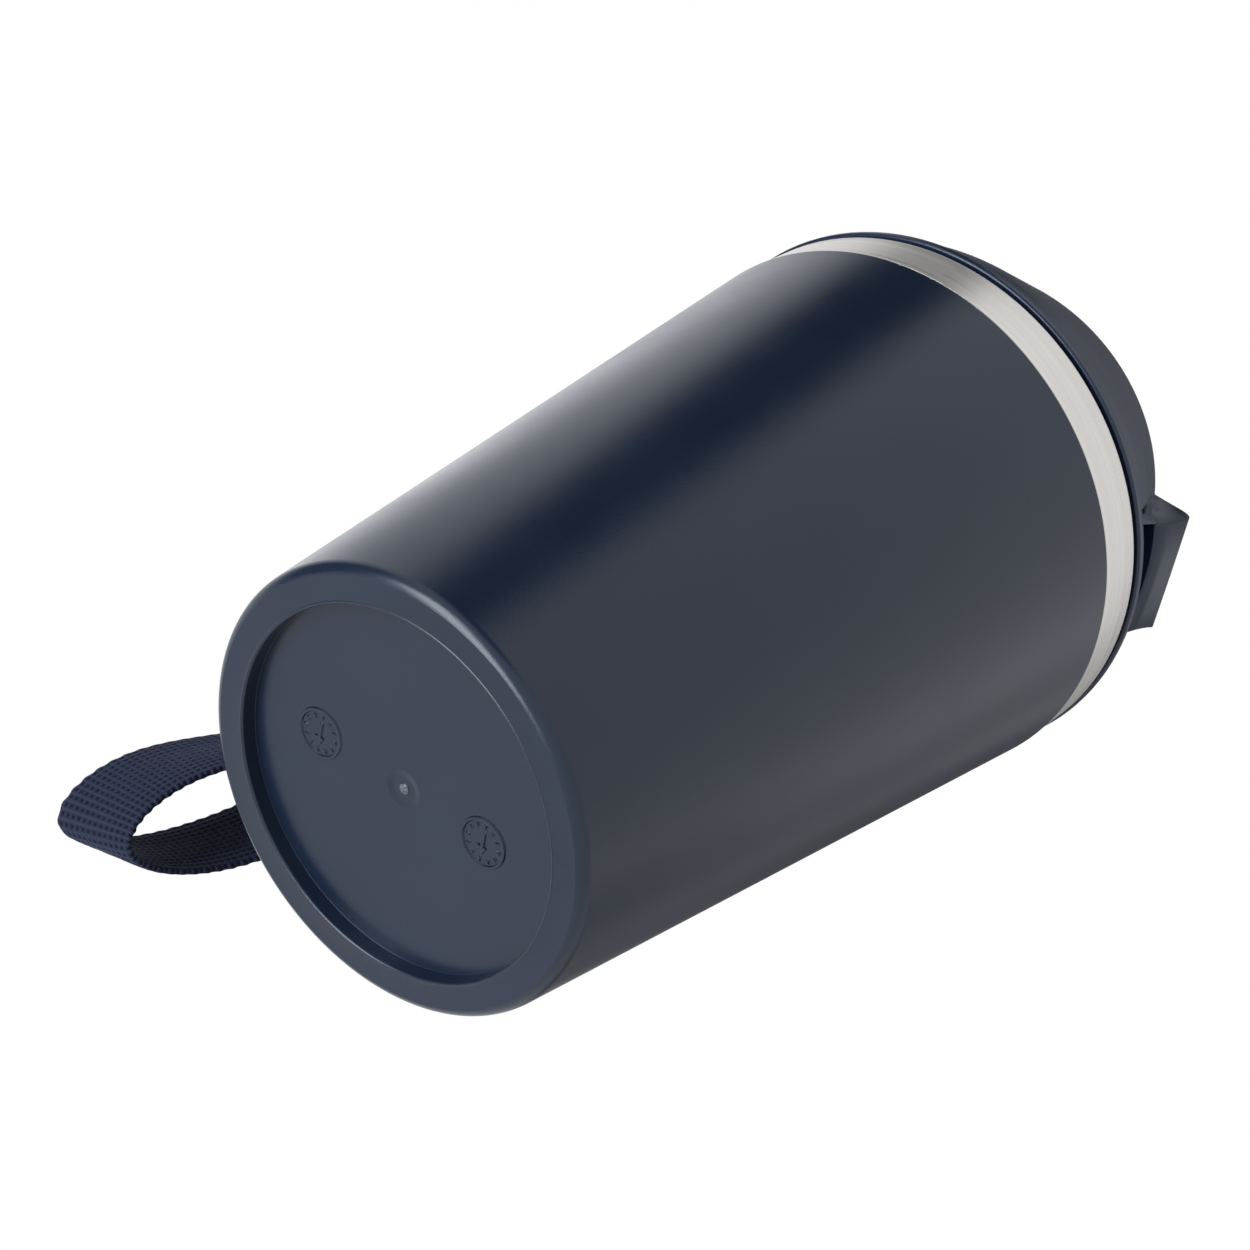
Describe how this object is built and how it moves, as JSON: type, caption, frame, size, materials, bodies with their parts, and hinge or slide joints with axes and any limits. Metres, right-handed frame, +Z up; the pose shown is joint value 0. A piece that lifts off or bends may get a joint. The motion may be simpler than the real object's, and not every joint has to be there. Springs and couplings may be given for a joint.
{
  "type": "travel mug",
  "caption": "Tapered travel mug with a matte plastic shell round a steel cup, a screw lid with a hinged flip cover and thumb tab, and a webbing carry strap.",
  "frame": {"origin": "centre of the foot's resting plane, on the mug's axis, at the mouth of the round recess under the base", "axes": "+Z up along the mug's axis; the thumb tab points to -Y; the hinge and the strap are at +Y"},
  "size_m": [0.0884, 0.0973, 0.1382],
  "materials": {
    "shell_plastic": "fine matte navy grey",
    "lid_plastic": "satin navy grey",
    "steel": "brushed round the axis",
    "pin_steel": "plain drawn wire",
    "silicone": "matte",
    "webbing": "woven navy webbing"
  },
  "bodies": {
    "mug": {"outer_shell": "shell_plastic", "inner_cup": "steel", "cup_ring": "silicone"},
    "lid_rise": {"lid_seal": "silicone"},
    "lid": {"lid_collar": "lid_plastic", "hinge_pin": "pin_steel", "strap_bar": "pin_steel"},
    "cover": {"flip_cover": "lid_plastic", "cover_plate": "lid_plastic", "drink_stopper": "silicone", "vent_stopper": "silicone"},
    "carry_strap": {"strap": "webbing"}
  },
  "joints": [
    {"name": "lid_lift", "type": "slide", "parent": "mug", "child": "lid_rise", "axis": [0, 0, 1], "range_m": [0, 0.016]},
    {"name": "lid_turn", "type": "hinge", "parent": "lid_rise", "child": "lid", "pos_m": [0, 0, 0.1128], "axis": [0, 0, 1], "range_deg": [0, 360]},
    {"name": "cover_flip", "type": "hinge", "parent": "lid", "child": "cover", "pos_m": [0, 0.03835, 0.1204], "axis": [-1, 0, 0], "range_deg": [0, 110]},
    {"name": "strap_swing", "type": "hinge", "parent": "lid", "child": "carry_strap", "pos_m": [0, 0.0418, 0.1156], "axis": [1, 0, 0], "range_deg": [0, 60]}
  ],
  "couplings": [
    {"joint": "lid_lift", "follows": "lid_turn", "m_per_rad": 0.0025465}
  ]
}
